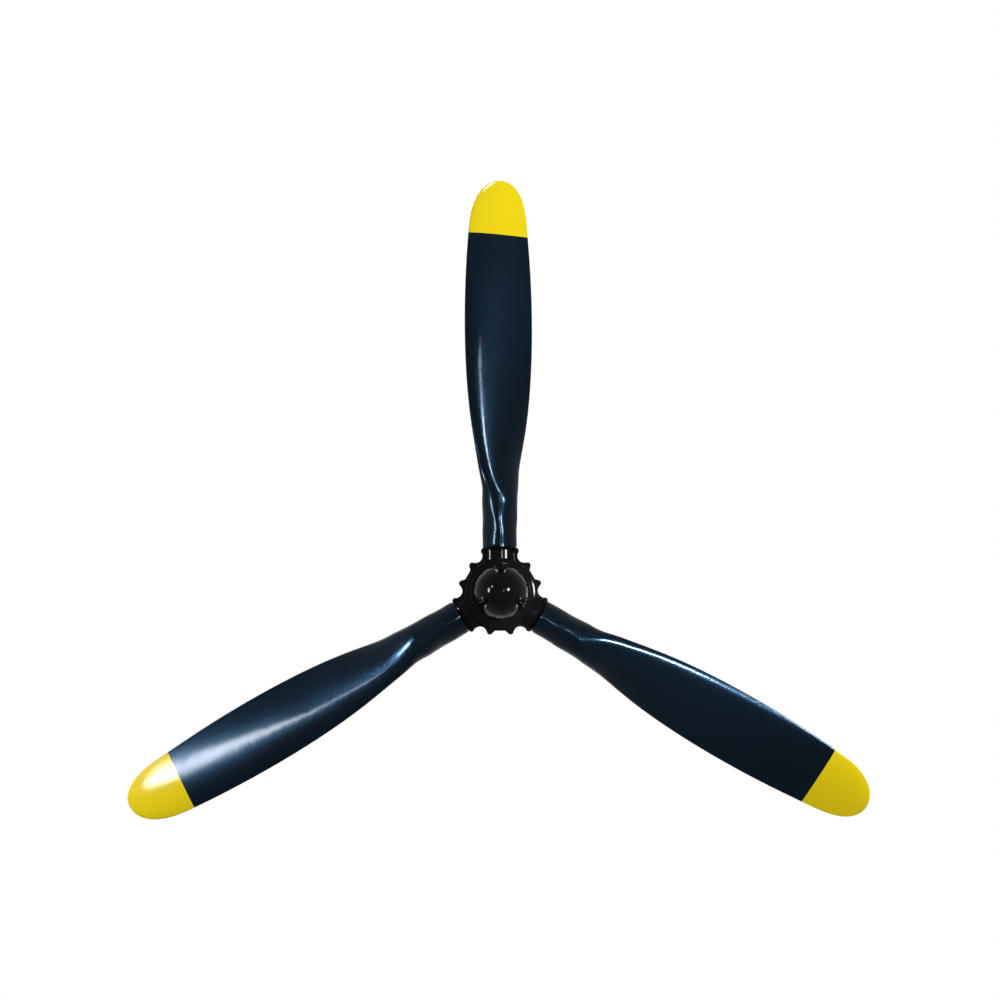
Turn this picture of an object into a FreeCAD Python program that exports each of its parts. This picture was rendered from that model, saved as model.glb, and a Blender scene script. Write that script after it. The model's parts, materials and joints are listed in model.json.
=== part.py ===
import FreeCAD, Part
import math
import os

# Three-blade controllable-pitch aircraft propeller, in millimetres.
# The shaft axis is Y and the front (dome) points to -Y. Blade 1 points up (+Z) and the
# others follow at 120 degrees. Everything is drawn with the blade axes at y = 0, and
# save() then moves it so that the rear mounting face lies at y = 0.

V = FreeCAD.Vector
BLADES = 3
STEP = 360.0 / BLADES
GAP = 0.3          # between pieces of different bodies that never touch
RUNNING = 0.05     # radial running clearance

# Blades
TIP_R = 1016.0
TIP_FROM = 0.86    # share of the radius where the rounded tip begins
TIP_POWER = 3.6
TIP_SWEEP = 8.0     # how far the end of the tip lies behind the middle of the chord
MOUTH = 110.6          # outer end of the hub arms
SHANK_START = MOUTH + GAP + 0.1
# share of radius, chord, thickness, pitch angle in degrees, nose factor, camber share
STATIONS = [
    (SHANK_START / TIP_R, 99.0, 82.0, 92.0, -0.30, 0.000),
    (0.132, 104.0, 83.0, 90.0, -0.32, 0.000),
    (0.165, 108.0, 83.5, 88.0, -0.38, 0.000),
    (0.200, 114.0, 85.0, 85.5, -0.18, 0.000),
    (0.236, 123.0, 84.0, 76.0, -0.08, 0.002),
    (0.265, 133.5, 73.0, 60.0, -0.06, 0.005),
    (0.295, 142.0, 58.0, 51.0, 0.12, 0.010),
    (0.330, 150.0, 49.0, 45.0, 0.26, 0.016),
    (0.381, 160.5, 42.0, 38.0, 0.28, 0.022),
    (0.472, 175.0, 32.0, 30.5, 0.42, 0.026),
    (0.571, 181.5, 23.5, 26.0, 0.60, 0.028),
    (0.645, 181.5, 18.0, 24.0, 0.70, 0.028),
    (0.763, 173.0, 13.0, 22.0, 0.74, 0.026),
    (0.860, 157.5, 10.0, 20.3, 0.74, 0.024),
]
TIP_CHORD = 127.0   # chord that the planform would reach at the tip before rounding
TIP_THICK = 7.0
TIP_PITCH = 17.7
TIP_STATIONS = (0.28, 0.52, 0.70, 0.83, 0.92, 0.97, 0.995)
HALF_POINTS = 8      # points on each side of a section

# Blade root and its bearing, along the blade axis
JOURNAL_R = 28.0
FLANGE_R = JOURNAL_R + 6.0
BUTT = 50.0
FLANGE_T = 9.0
RACE_T = 5.0
ROLLER_R = 4.2
ROLLER_LEN = 4.6
ROLLERS = 14
CAGE_T = 4.0
SOCKET_R = FLANGE_R + 0.6
JOURNAL_BUSH_T = 3.0

# Pitch change
KNOB_OFFSET = 20.0
KNOB_R = 6.0
KNOB_END = 28.5
KNOB_DEPTH = 20.0
KNOB_HEAD_T = 2.5
KNOB_HEAD_R = 7.5
BUSH_R = 9.5
BUSH_FROM = KNOB_END + KNOB_HEAD_T
BUSH_TO = 45.0
FORK_PLATE_T = 6.0
FORK_ARM_R = 10.5
FORK_BARREL_R = 15.0
ROD_R = 10.0
ROD_END_R = 8.0
PISTON_BACK = -74.0
PISTON_T = 14.0
BORE_R = 59.6

# Hub
BARREL_R = 84.0
BARREL_HALF = 46.0
PLATE_HALF = 14.0
ARM_R = 37.8
CAVITY_R = 57.0
CAVITY_HALF = 24.0
WEB_HALF = ARM_R + 4.6
WEB_END = 102.0
EAR_R = 7.5
BARREL_EDGE = 5.0    # rounding of the barrel's front edge
SHOULDER_IN = 10.5    # shoulders and flats of the flange, from the barrel's radius
SHOULDER_SIDE_IN = 18.0
FLAT_OUT = 5.6
LUG_OUT = 11.0
SHOULDER = BARREL_R - SHOULDER_IN
SHOULDER_HALF = BARREL_R - SHOULDER_SIDE_IN
SCALLOP_R = 16.0
FLAT_EDGE = BARREL_R + FLAT_OUT
FLAT_HALF = 24.9
LUG_R = 7.0
LUG_CENTRE = BARREL_R + LUG_OUT
LUG_SPREAD = 15.2
HUB_BOLT_R = 3.97
EAR_BOLT_R = 2.5
EAR_BOLT_OUT = 2.0   # ear bolt from the ear's centre, away from the blade axis
REAR_FACE = 58.0
REAR_BOSS_R = BARREL_R - 8.0
PILOT_R = 28.6
PILOT_DEPTH = 20.0
STUDS = 6
STUD_R = 6.35
STUD_TAP_R = 7.14     # thicker end, screwed into the hub
STUD_CIRCLE_R = 60.325
STUD_OUT = 25.0
STUD_IN = 18.0
SHAFT_BORE_R = 18.0
PILOT_SEAL_DEPTH = 3.0
PILOT_SEAL_W = 4.0
PILOT_SEAL_FROM = 9.0

# Dome
DOME_R = BORE_R + 4.0
DOME_FLANGE_R = DOME_R + 4.4
LOCK_RING_R = DOME_FLANGE_R + 5.0
DOME_FLANGE_T = 5.0
LOCK_RING_T = 11.0
DOME_STRAIGHT = -96.0
DOME_CAP = 115.0
DOME_CAP_WALL = 4.0
DOME_SEAL_R = (BORE_R + DOME_FLANGE_R) / 2
DOME_SEAL_W = 3.5
DOME_SEAL_T = 2.5


def save(shape, node):
    placed = shape.copy()
    placed.translate(V(0, -REAR_FACE, 0))
    placed.exportStep("parts/" + node + ".step")


def cyl(r, a, b):
    """Cylinder about the shaft axis from y = a to y = b."""
    return Part.makeCylinder(r, b - a, V(0, a, 0), V(0, 1, 0))


def cyl_at(r, a, b, x, z):
    return Part.makeCylinder(r, b - a, V(x, a, z), V(0, 1, 0))


def ring(r_out, r_in, a, b):
    return cyl(r_out, a, b).cut(cyl(r_in, a - 1, b + 1))


def rod(r, a, b, x=0.0, y=0.0):
    """Cylinder along the blade axis from z = a to z = b."""
    return Part.makeCylinder(r, b - a, V(x, y, a), V(0, 0, 1))


def tube(r_out, r_in, a, b):
    return rod(r_out, a, b).cut(rod(r_in, a - 1, b + 1))


def turned(shape, degrees):
    """A copy turned about the shaft, blade 1's place to another blade's."""
    copy = shape.copy()
    copy.rotate(V(0, 0, 0), V(0, 1, 0), degrees)
    return copy


def revolve_about_z(points):
    wire = Part.makePolygon([V(r, 0, z) for r, z in points] + [V(points[0][0], 0, points[0][1])])
    return Part.Face(wire).revolve(V(0, 0, 0), V(0, 0, 1), 360)


def revolve_about_y(points):
    wire = Part.makePolygon([V(r, y, 0) for r, y in points] + [V(points[0][0], points[0][1], 0)])
    return Part.Face(wire).revolve(V(0, 0, 0), V(0, 1, 0), 360)


def hexagon(across, a, b, x=0.0, z=0.0, turn=0.0):
    """Hexagonal prism about a line along Y."""
    r = across / math.sqrt(3)
    pts = []
    for i in range(7):
        ang = math.radians(60 * i + turn)
        pts.append(V(x + r * math.cos(ang), a, z + r * math.sin(ang)))
    return Part.Face(Part.makePolygon(pts)).extrude(V(0, b - a, 0))


def fuse(shapes):
    return shapes[0].multiFuse(shapes[1:]).removeSplitter()


# The blade

def smooth(table, x, column):
    """Monotone-ish cubic through the station table."""
    xs = [row[0] for row in table]
    ys = [row[column] for row in table]
    n = len(xs)
    slopes = []
    for i in range(n):
        if i == 0 or i == n - 1:
            j = min(i, n - 2)
            slopes.append((ys[j + 1] - ys[j]) / (xs[j + 1] - xs[j]))
        else:
            d0 = (ys[i] - ys[i - 1]) / (xs[i] - xs[i - 1])
            d1 = (ys[i + 1] - ys[i]) / (xs[i + 1] - xs[i])
            slopes.append(0.0 if d0 * d1 <= 0 else 2 * d0 * d1 / (d0 + d1))
    for i in range(n - 1):
        if x <= xs[i + 1] or i == n - 2:
            h = xs[i + 1] - xs[i]
            t = (x - xs[i]) / h
            a = (2 * t ** 3 - 3 * t ** 2 + 1) * ys[i] + (t ** 3 - 2 * t ** 2 + t) * h * slopes[i]
            b = (-2 * t ** 3 + 3 * t ** 2) * ys[i + 1] + (t ** 3 - t ** 2) * h * slopes[i + 1]
            return a + b
    return ys[-1]


def section(share):
    """Two splines of one blade section, trailing edge over the back face to the leading edge
    and on over the front face. Along the chord u = c/2 cos(phi), across it
    v = t/2 sin(phi)(1 + nose cos(phi)) + camber c sin(phi)^2, turned by the pitch angle."""
    last = STATIONS[-1]
    table = STATIONS + [(1.0, TIP_CHORD, TIP_THICK, TIP_PITCH, last[4], last[5])]
    chord, thick, pitch, nose, camber = [smooth(table, share, k) for k in range(1, 6)]
    q = max(0.0, (share - TIP_FROM) / (1.0 - TIP_FROM))
    closing = math.sqrt(max(0.0, 1.0 - q ** TIP_POWER))
    chord *= closing
    thick *= 0.25 + 0.75 * closing
    peak = max(math.sin(a) * (1 + nose * math.cos(a)) for a in [math.radians(d) for d in range(181)])
    beta = math.radians(pitch)
    ahead = V(-math.cos(beta), -math.sin(beta), 0)
    front = V(math.sin(beta), -math.cos(beta), 0)

    def place(phi):
        u = chord / 2 * math.cos(phi) - TIP_SWEEP * q ** 2
        v = thick / 2 * math.sin(phi) * (1 + nose * math.cos(phi)) / peak
        v += camber * chord * math.sin(phi) ** 2
        return ahead * u + front * v + V(0, 0, share * TIP_R)

    edges = []
    for start in (math.pi, 2 * math.pi):
        spread = [i / (HALF_POINTS - 1.0) for i in range(HALF_POINTS)]
        pts = [place(start + math.pi * w) for w in spread]
        rim = thick / 2 / peak * math.pi
        first, last_ = (nose - 1, nose + 1) if start == math.pi else (nose + 1, nose - 1)
        curve = Part.BSplineCurve()
        curve.interpolate(Points=pts, Parameters=spread,
                          InitialTangent=front * rim * first, FinalTangent=front * rim * last_, Scale=False)
        edges.append(curve.toShape())
    return Part.Wire(edges)


def make_blade():
    shares = [row[0] for row in STATIONS]
    shares += [TIP_FROM + (1.0 - TIP_FROM) * q for q in TIP_STATIONS]
    body = Part.makeLoft([section(s) for s in shares], True, False)
    root = revolve_about_z([
        (0, BUTT), (FLANGE_R - 1, BUTT), (FLANGE_R, BUTT + 1), (FLANGE_R, BUTT + FLANGE_T),
        (JOURNAL_R, BUTT + FLANGE_T), (JOURNAL_R, SHANK_START + 4), (0, SHANK_START + 4)])
    blade = body.fuse(root)
    pin_hole = rod(KNOB_R, BUTT - 1, BUTT + KNOB_DEPTH, KNOB_OFFSET, 0)
    return blade.cut(pin_hole)


INNER_RACE = BUTT + FLANGE_T
ROLLERS_AT = INNER_RACE + RACE_T + ROLLER_R
OUTER_RACE = ROLLERS_AT + ROLLER_R + GAP
LIP = OUTER_RACE + RACE_T


def make_inner_race():
    return tube(FLANGE_R, JOURNAL_R, INNER_RACE, INNER_RACE + RACE_T)


def make_outer_race():
    return tube(SOCKET_R, JOURNAL_R + 2 * GAP, OUTER_RACE, LIP)


ROLLER_MID = (JOURNAL_R + FLANGE_R) / 2


def make_rollers():
    out = []
    for i in range(ROLLERS):
        r = Part.makeCylinder(ROLLER_R, ROLLER_LEN, V(ROLLER_MID - ROLLER_LEN / 2, 0, ROLLERS_AT), V(1, 0, 0))
        r.rotate(V(0, 0, 0), V(0, 0, 1), 360.0 / ROLLERS * i)
        out.append(r)
    return out


def make_cage():
    cage = tube(FLANGE_R, JOURNAL_R + RUNNING, ROLLERS_AT - CAGE_T / 2, ROLLERS_AT + CAGE_T / 2)
    pockets = []
    for i in range(ROLLERS):
        p = Part.makeCylinder(ROLLER_R + RUNNING, ROLLER_LEN + 2 * RUNNING,
                              V(ROLLER_MID - ROLLER_LEN / 2 - RUNNING, 0, ROLLERS_AT), V(1, 0, 0))
        p.rotate(V(0, 0, 0), V(0, 0, 1), 360.0 / ROLLERS * i)
        pockets.append(p)
    return cage.cut(Part.makeCompound(pockets))


BUSH_END = MOUTH - 3.0


def make_journal_bush():
    return tube(JOURNAL_R + RUNNING + JOURNAL_BUSH_T, JOURNAL_R + RUNNING, LIP + 2, BUSH_END)


def make_mouth_seal():
    """Flat seal ring in the mouth of the hub arm."""
    return tube(MOUTH_SEAL_R, JOURNAL_R + GAP, BUSH_END, SHANK_START - GAP)


def make_pitch_pin():
    pin = rod(KNOB_R, BUSH_FROM, BUTT + KNOB_DEPTH, KNOB_OFFSET, 0)
    head = rod(KNOB_HEAD_R, KNOB_END, BUSH_FROM, KNOB_OFFSET, 0)
    return pin.fuse(head).removeSplitter()


def make_pin_bush():
    outer = rod(BUSH_R, BUSH_FROM, BUSH_TO, KNOB_OFFSET, 0)
    return outer.cut(rod(KNOB_R + RUNNING, BUSH_FROM - 1, BUSH_TO + 1, KNOB_OFFSET, 0))


# The pitch change

FORK_IN = BUSH_R + GAP
FORK_OUT = FORK_IN + FORK_PLATE_T
ROD_NUT_T = 6.0
FORK_NUT_ACROSS = 26.0
PISTON_NUT_ACROSS = 24.0
ROD_THREAD_R = ROD_R - 1.0


def fork_plate(a, b):
    mid = (BUSH_FROM + BUSH_TO) / 2
    reach = math.hypot(KNOB_OFFSET, mid)
    lean = math.degrees(math.atan2(KNOB_OFFSET, mid))
    pieces = [cyl(FORK_BARREL_R + 5, a, b)]
    for i in range(BLADES):
        arm = Part.makeBox(2 * FORK_ARM_R, b - a, reach, V(-FORK_ARM_R, a, 0))
        arm = arm.fuse(cyl_at(FORK_ARM_R, a, b, 0, reach))
        pieces.append(turned(arm, lean + STEP * i))
    return fuse(pieces)


def make_fork():
    barrel = cyl(FORK_BARREL_R, -FORK_IN, FORK_IN)
    fork = fuse([fork_plate(-FORK_OUT, -FORK_IN), barrel, fork_plate(FORK_IN, FORK_OUT)])
    return fork.cut(cyl(ROD_THREAD_R, -FORK_OUT - 1, FORK_OUT + 1))


def make_pitch_rod():
    front = PISTON_BACK - PISTON_T
    pieces = [cyl(ROD_THREAD_R, -FORK_OUT, FORK_OUT + ROD_NUT_T + 1),
              cyl(ROD_R, PISTON_BACK, -FORK_OUT),
              cyl(ROD_END_R, front - ROD_NUT_T - 1, PISTON_BACK)]
    return fuse(pieces)


def make_fork_nut():
    end = FORK_OUT + ROD_NUT_T
    return hexagon(FORK_NUT_ACROSS, FORK_OUT, end).cut(cyl(ROD_THREAD_R, FORK_OUT - 1, end + 1))


def make_piston_nut():
    front = PISTON_BACK - PISTON_T
    return hexagon(PISTON_NUT_ACROSS, front - ROD_NUT_T, front).cut(cyl(ROD_END_R, front - ROD_NUT_T - 1, front + 1))


PISTON_R = BORE_R - GAP
SEAL_W = 4.0
SEAL_DEPTH = 3.2


def make_piston():
    front = PISTON_BACK - PISTON_T
    mid = (front + PISTON_BACK) / 2
    groove = PISTON_R - SEAL_DEPTH
    rim = PISTON_R - 8
    return revolve_about_y([
        (ROD_END_R, PISTON_BACK), (SPRING_OUT + 2, PISTON_BACK), (SPRING_OUT + 2, PISTON_BACK - 4),
        (rim, PISTON_BACK - 4),
        (rim, PISTON_BACK), (PISTON_R, PISTON_BACK), (PISTON_R, mid + SEAL_W / 2), (groove, mid + SEAL_W / 2),
        (groove, mid - SEAL_W / 2), (PISTON_R, mid - SEAL_W / 2), (PISTON_R, front), (rim, front),
        (rim, front + 4), (20, front + 4), (20, front), (ROD_END_R, front)])


def make_piston_seal():
    mid = PISTON_BACK - PISTON_T / 2
    return ring(BORE_R - 0.1, PISTON_R - SEAL_DEPTH, mid - SEAL_W / 2, mid + SEAL_W / 2)


SPRING_IN = 20.0
SPRING_OUT = 34.0
SPRING_DISCS = 4
SPRING_T = 2.0


def make_spring():
    """Stack of disc springs between the hub and the back of the piston."""
    room = -BARREL_HALF - PISTON_BACK
    pitch = (room - SPRING_T) / SPRING_DISCS
    out = []
    for i in range(SPRING_DISCS):
        y = -BARREL_HALF - pitch * i
        low, high = (0.0, -pitch) if i % 2 else (-pitch, 0.0)
        out.append(revolve_about_y([
            (SPRING_IN, y + low), (SPRING_OUT, y + high), (SPRING_OUT, y + high - SPRING_T + 0.01),
            (SPRING_IN, y + low - SPRING_T + 0.01)]))
    return Part.makeCompound(out)


# The dome

def half_ellipse(r, depth):
    """Quarter of an ellipse from the end of the straight dome wall to the apex."""
    pts = []
    for i in range(13):
        ang = math.pi / 2 * i / 12
        pts.append(V(r * math.cos(ang), DOME_STRAIGHT - depth * math.sin(ang), 0))
    curve = Part.BSplineCurve()
    curve.interpolate(Points=pts, InitialTangent=V(0, -1, 0), FinalTangent=V(-1, 0, 0))
    return curve.toShape()


def make_dome():
    """Straight cylinder with a long half-ellipse of revolution in front and a foot flange behind."""
    seat = -BARREL_HALF
    top = seat - DOME_FLANGE_T
    inner_depth = DOME_CAP - DOME_CAP_WALL
    corners = [V(BORE_R, DOME_STRAIGHT, 0), V(BORE_R, seat, 0), V(DOME_FLANGE_R, seat, 0),
               V(DOME_FLANGE_R, top, 0), V(DOME_R, top, 0), V(DOME_R, DOME_STRAIGHT, 0)]
    edges = [Part.makeLine(p, q) for p, q in zip(corners, corners[1:])]
    edges.append(half_ellipse(DOME_R, DOME_CAP))
    edges.append(Part.makeLine(V(0, DOME_STRAIGHT - DOME_CAP, 0), V(0, DOME_STRAIGHT - inner_depth, 0)))
    edges.append(half_ellipse(BORE_R, inner_depth))
    return Part.Face(Part.Wire(edges)).revolve(V(0, 0, 0), V(0, 1, 0), 360)


def make_lock_ring():
    seat = -BARREL_HALF
    top = seat - DOME_FLANGE_T
    end = seat - LOCK_RING_T
    inside = DOME_R + GAP
    return revolve_about_y([
        (DOME_FLANGE_R, seat), (LOCK_RING_R, seat), (LOCK_RING_R, end + 3), (LOCK_RING_R - 1, end + 1),
        (LOCK_RING_R - 3, end), (inside, end), (inside, top), (DOME_FLANGE_R, top)])


def make_dome_seal():
    half = DOME_SEAL_W / 2
    return ring(DOME_SEAL_R + half, DOME_SEAL_R - half, -BARREL_HALF, -BARREL_HALF + DOME_SEAL_T)


# The hub

EAR_X = WEB_HALF - EAR_R + 3.3


def plate_outline_pieces():
    """Clamping flange between the hub halves, seen along the shaft, as solids of one thickness."""
    a, b = -PLATE_HALF, PLATE_HALF
    depth = b - a
    pieces = []
    for i in range(BLADES):
        arm = [
            Part.makeBox(2 * WEB_HALF, depth, WEB_END - 4, V(-WEB_HALF, a, 0)),
            Part.makeBox(2 * SHOULDER_HALF, depth, SHOULDER, V(-SHOULDER_HALF, a, 0)),
        ]
        for side in (-1, 1):
            arm.append(cyl_at(EAR_R, a, b, side * EAR_X, WEB_END))
            corner = Part.makeBox(SCALLOP_R, depth, SCALLOP_R,
                                  V(WEB_HALF if side > 0 else -WEB_HALF - SCALLOP_R, a, SHOULDER))
            hole = cyl_at(SCALLOP_R, a - 1, b + 1, side * (WEB_HALF + SCALLOP_R), SHOULDER + SCALLOP_R)
            arm.append(corner.cut(hole))
        pieces += [turned(s, STEP * i) for s in arm]
        flat = [Part.makeBox(2 * FLAT_HALF, depth, FLAT_EDGE, V(-FLAT_HALF, a, 0))]
        lug_x = LUG_CENTRE * math.sin(math.radians(LUG_SPREAD))
        lug_z = LUG_CENTRE * math.cos(math.radians(LUG_SPREAD))
        for side in (-1, 1):
            flat.append(cyl_at(LUG_R, a, b, side * lug_x, lug_z))
            foot = side * FLAT_HALF / 2
            tri = [V(foot, a, FLAT_EDGE), V(2 * foot, a, FLAT_EDGE - 5), V(side * lug_x, a, lug_z + 0.86 * LUG_R),
                   V(side * (lug_x - 0.7 * LUG_R), a, lug_z + 0.71 * LUG_R), V(foot, a, FLAT_EDGE)]
            flat.append(Part.Face(Part.makePolygon(tri)).extrude(V(0, depth, 0)))
        pieces += [turned(s, STEP * i + STEP / 2) for s in flat]
    return pieces


def ear_bolt_places():
    for i in range(BLADES):
        for side in (-1, 1):
            ang = math.radians(STEP * i)
            x, z = side * (EAR_X + EAR_BOLT_OUT), WEB_END
            yield x * math.cos(ang) + z * math.sin(ang), z * math.cos(ang) - x * math.sin(ang)


def lug_places():
    for i in range(BLADES):
        for side in (-1, 1):
            ang = math.radians(STEP * i + STEP / 2 + side * LUG_SPREAD)
            yield LUG_CENTRE * math.sin(ang), LUG_CENTRE * math.cos(ang)


def stud_places():
    for i in range(STUDS):
        ang = math.radians(360.0 / STUDS * i + 30)
        yield STUD_CIRCLE_R * math.sin(ang), STUD_CIRCLE_R * math.cos(ang)


def dowel_places():
    for side in (-1, 1):
        yield 0.0, side * STUD_CIRCLE_R


DOWEL_R = 5.0
DOWEL_OUT = 8.0
DOWEL_IN = 13.0
GUIDE_R = 15.0
HUB_DOWEL_R = 3.0
HUB_DOWEL_LEN = 12.0
HUB_DOWEL_AT = BARREL_R - 4.0
MOUTH_SEAL_R = JOURNAL_R + 8.0


def hub_dowel_places():
    for degrees in (60, 180):
        ang = math.radians(degrees)
        yield HUB_DOWEL_AT * math.sin(ang), HUB_DOWEL_AT * math.cos(ang)


def arm_solid():
    """One hub arm with two fine ridges round its mouth."""
    z = MOUTH
    return revolve_about_z([
        (0, 0), (ARM_R, 0), (ARM_R, z - 7), (ARM_R - 1, z - 6.4), (ARM_R + 0.6, z - 5.4), (ARM_R + 0.9, z - 4.6),
        (ARM_R + 0.6, z - 3.8), (ARM_R - 1, z - 3), (ARM_R + 0.4, z - 2), (ARM_R + 0.8, z - 1.2),
        (ARM_R + 0.4, z - 0.4), (ARM_R - 0.6, z), (0, z)])


def pilot_groove():
    """Where the pilot seal sits along the shaft."""
    start = REAR_FACE - PILOT_SEAL_FROM
    return start, start + PILOT_SEAL_W


def make_hub():
    edge = BARREL_EDGE
    barrel = revolve_about_y([
        (0, -BARREL_HALF), (BARREL_R - edge, -BARREL_HALF), (BARREL_R - 0.3 * edge, -BARREL_HALF + 0.3 * edge),
        (BARREL_R, -BARREL_HALF + edge), (BARREL_R, BARREL_HALF - edge), (BARREL_R - edge, BARREL_HALF),
        (REAR_BOSS_R, BARREL_HALF), (REAR_BOSS_R, REAR_FACE - 1), (REAR_BOSS_R - 1, REAR_FACE), (0, REAR_FACE)])
    arms = [turned(arm_solid(), STEP * i) for i in range(BLADES)]
    hub = fuse([barrel] + arms + plate_outline_pieces())
    cuts = [cyl(CAVITY_R, -CAVITY_HALF, CAVITY_HALF)]
    socket = revolve_about_z([
        (0, 20), (SOCKET_R, 20), (SOCKET_R, LIP), (JOURNAL_R + GAP, LIP), (JOURNAL_R + GAP, LIP + 2),
        (JOURNAL_R + RUNNING + JOURNAL_BUSH_T, LIP + 2), (JOURNAL_R + RUNNING + JOURNAL_BUSH_T, BUSH_END),
        (MOUTH_SEAL_R, BUSH_END), (MOUTH_SEAL_R, MOUTH + 1), (0, MOUTH + 1)])
    cuts += [turned(socket, STEP * i) for i in range(BLADES)]
    past = PLATE_HALF + 1
    cuts += [cyl_at(HUB_BOLT_R, -past, past, x, z) for x, z in lug_places()]
    cuts += [cyl_at(EAR_BOLT_R, -past, past, x, z) for x, z in ear_bolt_places()]
    cuts.append(cyl(GUIDE_R, -BARREL_HALF, 0))
    cuts.append(cyl(PILOT_R, REAR_FACE - PILOT_DEPTH, REAR_FACE + 1))
    cuts.append(cyl(SHAFT_BORE_R, 0, REAR_FACE))
    cuts.append(cyl(PILOT_R + PILOT_SEAL_DEPTH, *pilot_groove()))
    half = DOME_SEAL_W / 2
    cuts.append(ring(DOME_SEAL_R + half, DOME_SEAL_R - half, -BARREL_HALF - 1, -BARREL_HALF + DOME_SEAL_T))
    cuts += [cyl_at(STUD_TAP_R, REAR_FACE - STUD_IN, REAR_FACE + 1, x, z) for x, z in stud_places()]
    cuts += [cyl_at(DOWEL_R, REAR_FACE - DOWEL_IN, REAR_FACE + 1, x, z) for x, z in dowel_places()]
    cuts += [cyl_at(HUB_DOWEL_R, -HUB_DOWEL_LEN / 2, HUB_DOWEL_LEN / 2, x, z) for x, z in hub_dowel_places()]
    hub = hub.cut(cuts[0])
    for c in cuts[1:]:
        hub = hub.cut(c)
    side = 2 * (MOUTH + BARREL_R)
    front = hub.common(Part.makeBox(side, side, side, V(-side / 2, -side, -side / 2)))
    rear = hub.common(Part.makeBox(side, side, side, V(-side / 2, 0, -side / 2)))
    return front, rear


WASHER_T = 1.2
# bolt radius, head or nut radius, head height, nut height
LUG_BOLT = (HUB_BOLT_R, 6.2, 5.0, 6.0)
EAR_BOLT = (EAR_BOLT_R, 4.2, 3.5, 3.6)


def hub_fasteners():
    """Place and sizes of each bolt through the clamping flange."""
    return [(x, z) + LUG_BOLT for x, z in lug_places()] + [(x, z) + EAR_BOLT for x, z in ear_bolt_places()]


def make_hub_bolts():
    out = []
    face = PLATE_HALF + WASHER_T
    for x, z, r, head_r, head_t, nut_t in hub_fasteners():
        shank = cyl_at(r, -face, face + nut_t + 1.5, x, z)
        head = cyl_at(head_r, -face - head_t, -face, x, z)
        out.append(shank.fuse(head).removeSplitter())
    return out


def make_hub_washers():
    out = []
    for x, z, r, head_r, _, _ in hub_fasteners():
        for a in (-PLATE_HALF - WASHER_T, PLATE_HALF):
            disc = cyl_at(head_r + 0.4, a, a + WASHER_T, x, z)
            out.append(disc.cut(cyl_at(r, a - 1, a + WASHER_T + 1, x, z)))
    return out


def make_hub_nuts():
    out = []
    a = PLATE_HALF + WASHER_T
    for x, z, r, head_r, _, nut_t in hub_fasteners():
        nut = hexagon(head_r * math.sqrt(3), a, a + nut_t, x, z, 90)
        out.append(nut.cut(cyl_at(r, a - 1, a + nut_t + 1, x, z)))
    return out


def make_studs():
    out = []
    for x, z in stud_places():
        tap = cyl_at(STUD_TAP_R, REAR_FACE - STUD_IN, REAR_FACE, x, z)
        out.append(tap.fuse(cyl_at(STUD_R, REAR_FACE, REAR_FACE + STUD_OUT, x, z)))
    return out


def main():
    os.makedirs("parts", exist_ok=True)
    front, rear = make_hub()
    save(front, "hub_front_half")
    save(rear, "hub_rear_half")
    save(Part.makeCompound(make_hub_bolts()), "hub_bolts")
    save(Part.makeCompound(make_hub_washers()), "hub_washers")
    save(Part.makeCompound(make_hub_nuts()), "hub_nuts")
    a = HUB_DOWEL_LEN / 2
    save(Part.makeCompound([cyl_at(HUB_DOWEL_R, -a, a, x, z) for x, z in hub_dowel_places()]), "hub_dowels")
    save(Part.makeCompound(make_studs()), "mount_studs")
    dowels = [cyl_at(DOWEL_R, REAR_FACE - DOWEL_IN, REAR_FACE + DOWEL_OUT, x, z) for x, z in dowel_places()]
    save(Part.makeCompound(dowels), "drive_dowels")
    save(ring(PILOT_R + PILOT_SEAL_DEPTH, PILOT_R + 0.1, *pilot_groove()), "pilot_seal")
    save(ring(GUIDE_R, ROD_R + RUNNING, -BARREL_HALF, -CAVITY_HALF), "rod_guide_bush")
    save(make_dome(), "dome_cylinder")
    save(make_lock_ring(), "dome_lock_ring")
    save(make_dome_seal(), "dome_seal")
    save(make_piston(), "piston")
    save(make_piston_seal(), "piston_seal")
    save(make_pitch_rod(), "pitch_rod")
    save(make_fork(), "pitch_fork")
    save(make_fork_nut(), "fork_nut")
    save(make_piston_nut(), "piston_nut")
    save(make_spring(), "return_spring")
    per_blade = {
        "": make_blade(), "_inner_race": make_inner_race(), "_outer_race": make_outer_race(),
        "_roller_cage": make_cage(), "_rollers": Part.makeCompound(make_rollers()),
        "_journal_bush": make_journal_bush(), "_mouth_seal": make_mouth_seal(),
        "_pitch_pin": make_pitch_pin(), "_pin_bush": make_pin_bush(),
    }
    for i in range(BLADES):
        for name, shape in per_blade.items():
            save(turned(shape, STEP * i), "blade_" + str(i + 1) + name)


main()
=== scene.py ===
"""Looks of the aircraft propeller: paint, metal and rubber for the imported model, lamps and camera.

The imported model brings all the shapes. This script gives every node its finish, lights the
propeller softly in front of a pale sweep and looks at it from the front.
Lengths are metres in the model's own frame: Y along the shaft, the dome towards -Y, Z up.
"""
import json
import math

import bpy
import numpy as np
from mathutils import Matrix, Vector


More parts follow.
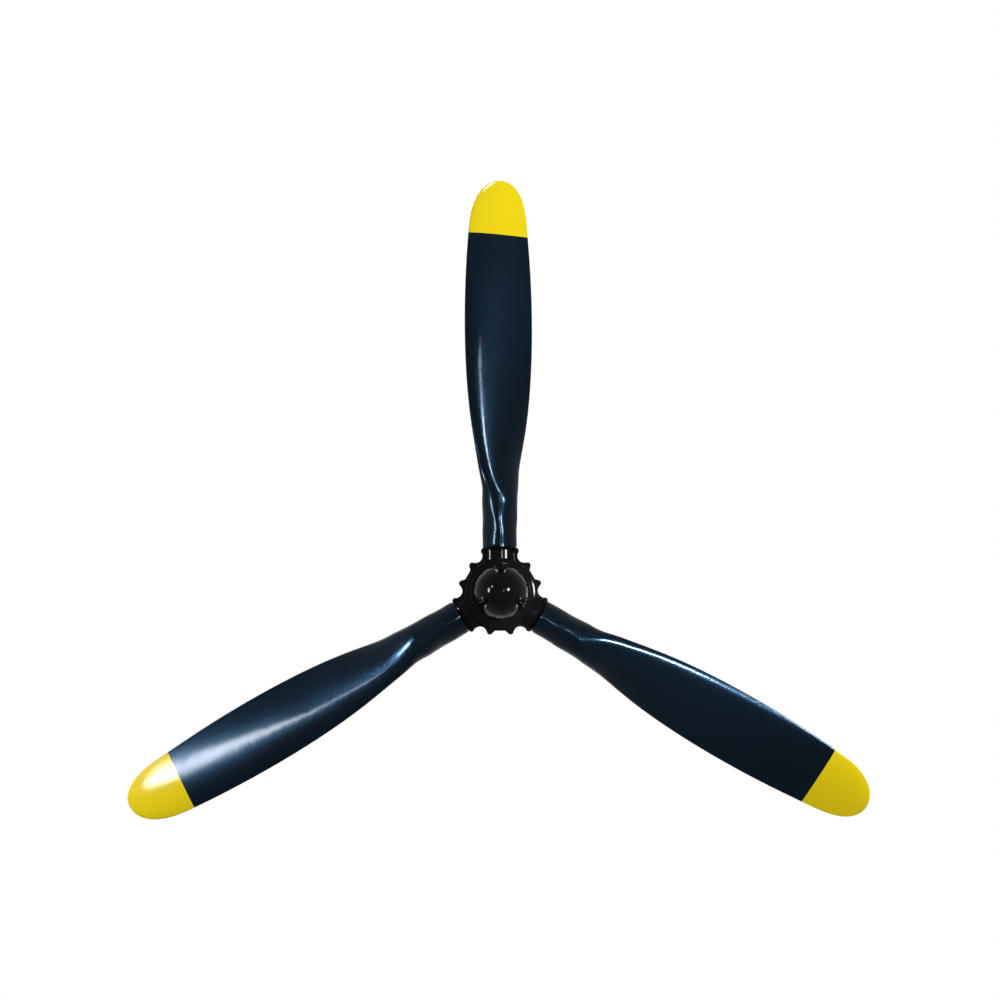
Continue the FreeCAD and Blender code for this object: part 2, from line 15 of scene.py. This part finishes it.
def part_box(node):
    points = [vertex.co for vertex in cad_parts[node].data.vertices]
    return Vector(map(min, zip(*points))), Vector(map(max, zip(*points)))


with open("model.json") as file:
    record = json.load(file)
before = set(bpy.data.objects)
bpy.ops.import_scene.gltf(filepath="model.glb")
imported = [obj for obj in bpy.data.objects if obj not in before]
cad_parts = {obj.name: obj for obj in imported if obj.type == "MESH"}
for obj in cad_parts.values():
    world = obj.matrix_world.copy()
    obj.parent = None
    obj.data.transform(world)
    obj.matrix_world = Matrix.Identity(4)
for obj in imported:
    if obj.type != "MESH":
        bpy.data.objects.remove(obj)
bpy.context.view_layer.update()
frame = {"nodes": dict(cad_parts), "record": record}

# The propeller
BLADES = ("blade_1", "blade_2", "blade_3")
BLADE_STEP = 2 * math.pi / 3
BLADE_PLANE = -0.058            # y of the blade axes
TIP_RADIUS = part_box("blade_1")[1].z
PAINTED_TIP = 0.866 * TIP_RADIUS   # where the yellow paint begins
PAINT_EDGE = 0.0006             # half the width over which blue turns to yellow
HUB_CENTRE = Vector((0.0, BLADE_PLANE, 0.0))

# Colours as linear values
NAVY = (0.0075, 0.022, 0.042, 1)
NAVY_LIGHT = (0.0115, 0.038, 0.070, 1)
YELLOW = (0.92, 0.71, 0.0, 1)
YELLOW_DUSTY = (0.87, 0.66, 0.0, 1)
HUB_BLACK = (0.0022, 0.0023, 0.0028, 1)
HUB_BLACK_GREY = (0.0038, 0.0039, 0.0046, 1)
RUBBER = (0.006, 0.006, 0.006, 1)
RUBBER_GREY = (0.012, 0.012, 0.012, 1)
STEEL = (0.42, 0.42, 0.44, 1)
BRONZE = (0.45, 0.28, 0.11, 1)
ALUMINIUM = (0.62, 0.63, 0.65, 1)
PAPER = (0.80, 0.80, 0.80, 1)
PAPER_LIGHT = (0.84, 0.84, 0.84, 1)
AIR = (0.92, 0.96, 1.0, 1)
WHITE = (1, 1, 1, 1)

# Finishes
FLAKE_METAL = 0.86              # how metallic the blue paint is
BLUE_ROUGH = 0.23
YELLOW_ROUGHER = 0.27           # what the yellow adds to that
BLUE_COAT = 0.42                # weight of the lacquer on the blue
YELLOW_COAT = 0.58              # what the yellow adds to that
BLACK_ROUGH = 0.10
STAIN = 0.72                    # how bright a stain leaves bare metal

# The studio
AIR_LIGHT = 0.14                # even light from all round
MIRRORED = 0.12                 # how much of the white sweep gloss paint shows
FLOOR = -1.6                    # height of the studio floor
SWEEP_START = 2.2               # y of the floor's front edge
SWEEP_BEND = 4.0                # y where the floor starts to turn up
SWEEP_RADIUS = 2.0
SWEEP_HEIGHT = 3.5              # upright part of the sweep
SWEEP_HALF_WIDTH = 3.2
SWEEP_ROWS, SWEEP_COLUMNS = 110, 65

# Softboxes aimed at the hub: name, place, size, power in watts
SOFTBOXES = (
    ("right_softbox", (2.0, -2.05, 0.34), (0.55, 0.70), 54.0),
    ("left_softbox", (-1.7, -0.35, 0.10), (0.18, 0.50), 8.5),
)
# Lamps with a grid that keeps their light on one part of a blade:
# name, place, size, power in watts, x and z of the target, spread in degrees
GRIDS = (
    ("upper_right_grid", (1.47, -2.10, 1.20), (0.30, 0.36), 0.045, (0.0, 0.31), 6.0),
    ("top_tip_grid", (0.4, -1.3, 2.3), (0.5, 0.5), 0.6, (0.0, 0.95), 30.0),
    ("right_blade_grid", (0.85, -2.5, -0.08), (0.5, 0.5), 1.1, (0.33, -0.17), 15.0),
    ("right_root_grid", (-0.40, -2.5, -0.42), (0.12, 0.12), 0.006, (0.14, -0.08), 6.0),
    ("left_blade_grid", (-2.5, -2.05, 1.50), (0.24, 0.62), 0.36, (-0.88, -0.50), 22.0),
    ("left_root_grid", (-1.45, -0.60, 0.54), (0.32, 0.32), 0.50, (-0.24, -0.14), 20.0),
)
# One softbox behind and beyond each blade tip
REAR_POWERS = (16.0, 9.0, 9.0)
REAR_OUT = 2.0                  # from the shaft
REAR_BACK = 1.5                 # y
REAR_SIZE = (0.8, 0.8)

CAMERA_PLACE = (-0.0858, BLADE_PLANE - 4.2672, -0.1529)
CAMERA_TARGET = (0.0011, BLADE_PLANE, 0.2263)
CAMERA_ROLL = -0.005
SENSOR = 36.0
FOCAL_WIDTHS = 1.769            # focal length in sensor widths
CLIP_END = 50.0


class Wire:
    """A shader socket with arithmetic: each operator adds its Math node."""

    def __init__(self, sheet, socket):
        self.sheet = sheet
        self.socket = socket

    def _math(self, operation, a, b):
        return self.sheet.node("ShaderNodeMath", {"operation": operation}, {0: a, 1: b})

    def __add__(self, other):
        return self._math("ADD", self, other)

    __radd__ = __add__

    def __sub__(self, other):
        return self._math("SUBTRACT", self, other)

    def __rsub__(self, other):
        return self._math("SUBTRACT", other, self)

    def __mul__(self, other):
        return self._math("MULTIPLY", self, other)

    __rmul__ = __mul__


class Sheet:
    """The nodes of a new material or world."""

    def __init__(self, owner):
        owner.use_nodes = True
        self.owner = owner
        self.tree = owner.node_tree

    def node(self, kind, settings=None, inputs=None, out=0):
        """Adds a node of any kind, with the values or links of its sockets, and gives an output."""
        made = self.tree.nodes.new(kind)
        for key, value in (settings or {}).items():
            setattr(made, key, value)
        self.connect(made, inputs or {})
        return Wire(self, made.outputs[out])

    def connect(self, node, inputs):
        """Links or sets the sockets of a node."""
        for key, value in inputs.items():
            if isinstance(value, Wire):
                self.tree.links.new(value.socket, node.inputs[key])
            else:
                node.inputs[key].default_value = value

    def first(self, name):
        """First output of a node that came with the material or world."""
        return Wire(self, self.tree.nodes[name].outputs[0])

    def coords(self):
        """The surface point in the model's frame."""
        return self.node("ShaderNodeTexCoord", out="Object")

    def ray(self, kind):
        """1 for rays of one kind, Camera, Glossy or Transmission, else 0."""
        return self.node("ShaderNodeLightPath", out="Is %s Ray" % kind)

    def noise(self, coords, scale, detail=2.0, rough=0.5):
        """Cloudy pattern from 0 to 1, with about scale lumps to the metre."""
        return self.node("ShaderNodeTexNoise", inputs={
            "Vector": coords, "Scale": scale, "Detail": detail, "Roughness": rough})

    def step(self, value, low, high):
        """0 below low, 1 above high, smooth between."""
        return self.node("ShaderNodeMapRange", {"interpolation_type": "SMOOTHSTEP"}, {
            "Value": value, "From Min": low, "From Max": high, "To Min": 0.0, "To Max": 1.0})

    def mix_colour(self, factor, a, b):
        return self.node("ShaderNodeMix", {"data_type": "RGBA"}, {0: factor, 6: a, 7: b}, out=2)

    def bump(self, height, distance, strength):
        return self.node("ShaderNodeBump", inputs={
            "Height": height, "Distance": distance, "Strength": strength})

    def finish(self, inputs):
        """Sets the Principled shader's sockets and gives the material."""
        self.connect(self.tree.nodes["Principled BSDF"], inputs)
        return self.owner

    def show_mixed(self, output, factor, usual, seen):
        """Sends the usual shader to the output, and the seen one where the factor is 1."""
        mix = self.node("ShaderNodeMixShader", inputs={0: factor, 1: usual, 2: seen})
        self.connect(self.tree.nodes[output], {"Surface": mix})


def new_material(name):
    """The sheet of a new material."""
    return Sheet(bpy.data.materials.new(name))


def along_blade(sheet, coords, turn):
    """Distance along a blade's own axis: x sin(turn) + z cos(turn)."""
    x, z = (sheet.node("ShaderNodeSeparateXYZ", inputs={0: coords}, out=axis) for axis in "XZ")
    return x * math.sin(turn) + z * math.cos(turn)


def blade_paint(index):
    """Dark blue metallic paint under clear lacquer, with a yellow tip."""
    sheet = new_material("blade_paint_%d" % (index + 1))
    coords = sheet.coords()
    reach = along_blade(sheet, coords, BLADE_STEP * index)
    tip = sheet.step(reach, PAINTED_TIP - PAINT_EDGE, PAINTED_TIP + PAINT_EDGE)
    cloud = sheet.noise(coords, scale=9.0)
    flake = sheet.noise(coords, scale=2600.0, detail=1.0)
    dust = sheet.noise(coords, scale=14.0)
    peel = sheet.noise(coords, scale=420.0)
    wear = sheet.noise(coords, scale=60.0, detail=4.0, rough=0.6)
    blue = sheet.mix_colour(cloud * 0.6 + flake * 0.06, NAVY, NAVY_LIGHT)
    yellow = sheet.mix_colour(dust * 0.5, YELLOW, YELLOW_DUSTY)
    return sheet.finish({
        "Base Color": sheet.mix_colour(tip, blue, yellow),
        "Metallic": FLAKE_METAL - tip * FLAKE_METAL,
        "Roughness": BLUE_ROUGH + wear * 0.05 + tip * YELLOW_ROUGHER,
        "Specular IOR Level": 0.05,
        "Coat Weight": BLUE_COAT + tip * YELLOW_COAT,
        "Coat Roughness": 0.12,
        "Normal": sheet.bump(peel, distance=0.00003, strength=0.06)})


def gloss_black(name, peel_scale):
    """Thick gloss black paint with a faint orange peel."""
    sheet = new_material(name)
    coords = sheet.coords()
    cloud = sheet.noise(coords, scale=30.0, detail=3.0)
    peel = sheet.noise(coords, scale=peel_scale)
    return sheet.finish({
        "Base Color": sheet.mix_colour(cloud, HUB_BLACK, HUB_BLACK_GREY),
        "Roughness": BLACK_ROUGH + cloud * 0.05,
        "Specular IOR Level": 0.32,
        "Coat Weight": 0.0,
        "Normal": sheet.bump(peel, distance=0.00003, strength=0.25)})


def machined(name, colour, rough, squeeze):
    """Bare turned metal, with tool marks that are squeezed together along the shaft."""
    sheet = new_material(name)
    coords = sheet.coords()
    squeezed = sheet.node("ShaderNodeVectorMath", {"operation": "MULTIPLY"},
                          {0: coords, 1: (1.0, squeeze, 1.0)})
    marks = sheet.noise(squeezed, scale=900.0, detail=3.0)
    stain = sheet.noise(coords, scale=45.0, detail=3.0)
    stained = tuple(channel * STAIN for channel in colour[:3]) + (1,)
    return sheet.finish({
        "Base Color": sheet.mix_colour(stain, stained, colour),
        "Metallic": 1.0,
        "Roughness": rough + marks * 0.14,
        "Normal": sheet.bump(marks, distance=0.00004, strength=0.4)})


def seal_rubber():
    """Matt black rubber with a fine grain."""
    sheet = new_material("seal_rubber")
    coords = sheet.coords()
    grain = sheet.noise(coords, scale=1500.0, detail=3.0)
    bloom = sheet.noise(coords, scale=80.0)
    return sheet.finish({
        "Base Color": sheet.mix_colour(bloom, RUBBER, RUBBER_GREY),
        "Roughness": 0.55 + grain * 0.2,
        "Normal": sheet.bump(grain, distance=0.00008, strength=0.5)})


def dress():
    """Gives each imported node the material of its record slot, and each blade its own paint."""
    looks = {
        "hub_black": gloss_black("hub_gloss_black", peel_scale=500.0),
        "dome_black": gloss_black("dome_gloss_black", peel_scale=350.0),
        "black_steel": gloss_black("black_fasteners", peel_scale=800.0),
        "steel": machined("turned_steel", STEEL, rough=0.22, squeeze=6.0),
        "bronze": machined("bronze_bush", BRONZE, rough=0.28, squeeze=5.0),
        "bare_aluminium": machined("machined_aluminium", ALUMINIUM, rough=0.25, squeeze=8.0),
        "seal_rubber": seal_rubber(),
    }
    paint = {name: blade_paint(index) for index, name in enumerate(BLADES)}
    slots = {part["node"]: part["material_slot"] for part in frame["record"]["subparts"]}
    for name, node in frame["nodes"].items():
        node.data.materials.clear()
        node.data.materials.append(paint.get(name) or looks[slots[name]])


def point_at(thing, target, roll=0.0):
    """Aims -Z of a lamp or camera at the target, its +Y up, turned by roll about the view line."""
    view = (Vector(target) - thing.location).normalized()
    turn = view.to_track_quat("-Z", "Y").to_matrix().to_4x4()
    thing.matrix_world = Matrix.Translation(thing.location) @ turn @ Matrix.Rotation(roll, 4, "Z")


def softbox(name, place, size, power, target=HUB_CENTRE, spread=180.0):
    """Area lamp aimed at the target. A spread under 180 degrees is a grid in front of it."""
    lamp = bpy.data.lights.new(name, "AREA")
    lamp.shape = "RECTANGLE"
    lamp.size, lamp.size_y = size
    lamp.energy = power
    lamp.spread = math.radians(spread)
    holder = bpy.data.objects.new(name, lamp)
    holder.location = place
    holder.visible_camera = False
    bpy.context.scene.collection.objects.link(holder)
    point_at(holder, target)


def studio_lamps():
    """Softboxes and grids in front, and a softbox behind each blade tip."""
    for name, place, size, power in SOFTBOXES:
        softbox(name, place, size, power)
    for name, place, size, power, (x, z), spread in GRIDS:
        softbox(name, place, size, power, (x, BLADE_PLANE, z), spread)
    for index, power in enumerate(REAR_POWERS):
        angle = BLADE_STEP * index
        place = (REAR_OUT * math.sin(angle), REAR_BACK, REAR_OUT * math.cos(angle))
        softbox("rear_softbox_%d" % (index + 1), place, REAR_SIZE, power)


def studio_air():
    """Faint even light from all round, which the camera and glass see as a white room."""
    world = bpy.data.worlds.new("studio_air")
    bpy.context.scene.world = world
    sheet = Sheet(world)
    sheet.connect(sheet.tree.nodes["Background"], {"Color": AIR, "Strength": AIR_LIGHT})
    room = sheet.node("ShaderNodeBackground", inputs={"Color": WHITE, "Strength": 1.0})
    sheet.show_mixed("World Output", sheet.ray("Camera") + sheet.ray("Transmission"),
                     sheet.first("Background"), room)


def grid_mesh(name, points):
    """Mesh of quads over a (rows, columns, 3) array of points."""
    rows, columns = points.shape[:2]
    index = np.arange(rows * columns).reshape(rows, columns)
    corners = (index[:-1, :-1], index[:-1, 1:], index[1:, 1:], index[1:, :-1])
    quads = np.stack(corners, -1).reshape(-1, 4)
    mesh = bpy.data.meshes.new(name)
    mesh.from_pydata(points.reshape(-1, 3).tolist(), [], quads.tolist())
    mesh.shade_smooth()
    return mesh


def backdrop():
    """Pale floor that turns up into a wall behind, as one sweep.

    At length s along the sweep the profile is flat from its start to its bend, then a
    quarter circle, then upright; across it x runs from one side to the other.
    """
    flat = SWEEP_BEND - SWEEP_START
    arc = SWEEP_RADIUS * math.pi / 2
    s = np.linspace(0.0, flat + arc + SWEEP_HEIGHT, SWEEP_ROWS)
    angle = np.clip((s - flat) / SWEEP_RADIUS, 0.0, math.pi / 2)
    y = np.minimum(SWEEP_START + s, SWEEP_BEND) + SWEEP_RADIUS * np.sin(angle)
    z = FLOOR + SWEEP_RADIUS * (1 - np.cos(angle)) + np.maximum(s - flat - arc, 0.0)
    x = np.linspace(-SWEEP_HALF_WIDTH, SWEEP_HALF_WIDTH, SWEEP_COLUMNS)
    points = np.stack(np.broadcast_arrays(x[None, :], y[:, None], z[:, None]), -1)
    sweep = bpy.data.objects.new("studio_sweep", grid_mesh("studio_sweep", points))
    bpy.context.scene.collection.objects.link(sweep)
    sweep.data.materials.append(sweep_paper())


def sweep_paper():
    """Pale paper. The camera and glass see it white, and gloss paint sees a part of that."""
    sheet = new_material("sweep_paper")
    grain = sheet.noise(sheet.coords(), scale=300.0, detail=3.0)
    paper = sheet.finish({"Base Color": sheet.mix_colour(grain, PAPER, PAPER_LIGHT),
                          "Roughness": 0.9})
    seen = sheet.ray("Camera") + sheet.ray("Transmission") + sheet.ray("Glossy") * MIRRORED
    glow = sheet.node("ShaderNodeEmission", inputs={"Color": WHITE, "Strength": 1.0})
    sheet.show_mixed("Material Output", seen, sheet.first("Principled BSDF"), glow)
    return paper


def camera():
    """Straight from the front, a little below the hub, fitted to the photograph's outline."""
    data = bpy.data.cameras.new("front_camera")
    data.sensor_width = SENSOR
    data.lens = FOCAL_WIDTHS * SENSOR
    data.clip_end = CLIP_END
    holder = bpy.data.objects.new("front_camera", data)
    bpy.context.scene.collection.objects.link(holder)
    holder.location = CAMERA_PLACE
    point_at(holder, CAMERA_TARGET, CAMERA_ROLL)
    bpy.context.scene.camera = holder


def main():
    dress()
    studio_air()
    backdrop()
    studio_lamps()
    camera()
    bpy.context.scene.view_settings.view_transform = "Standard"


main()
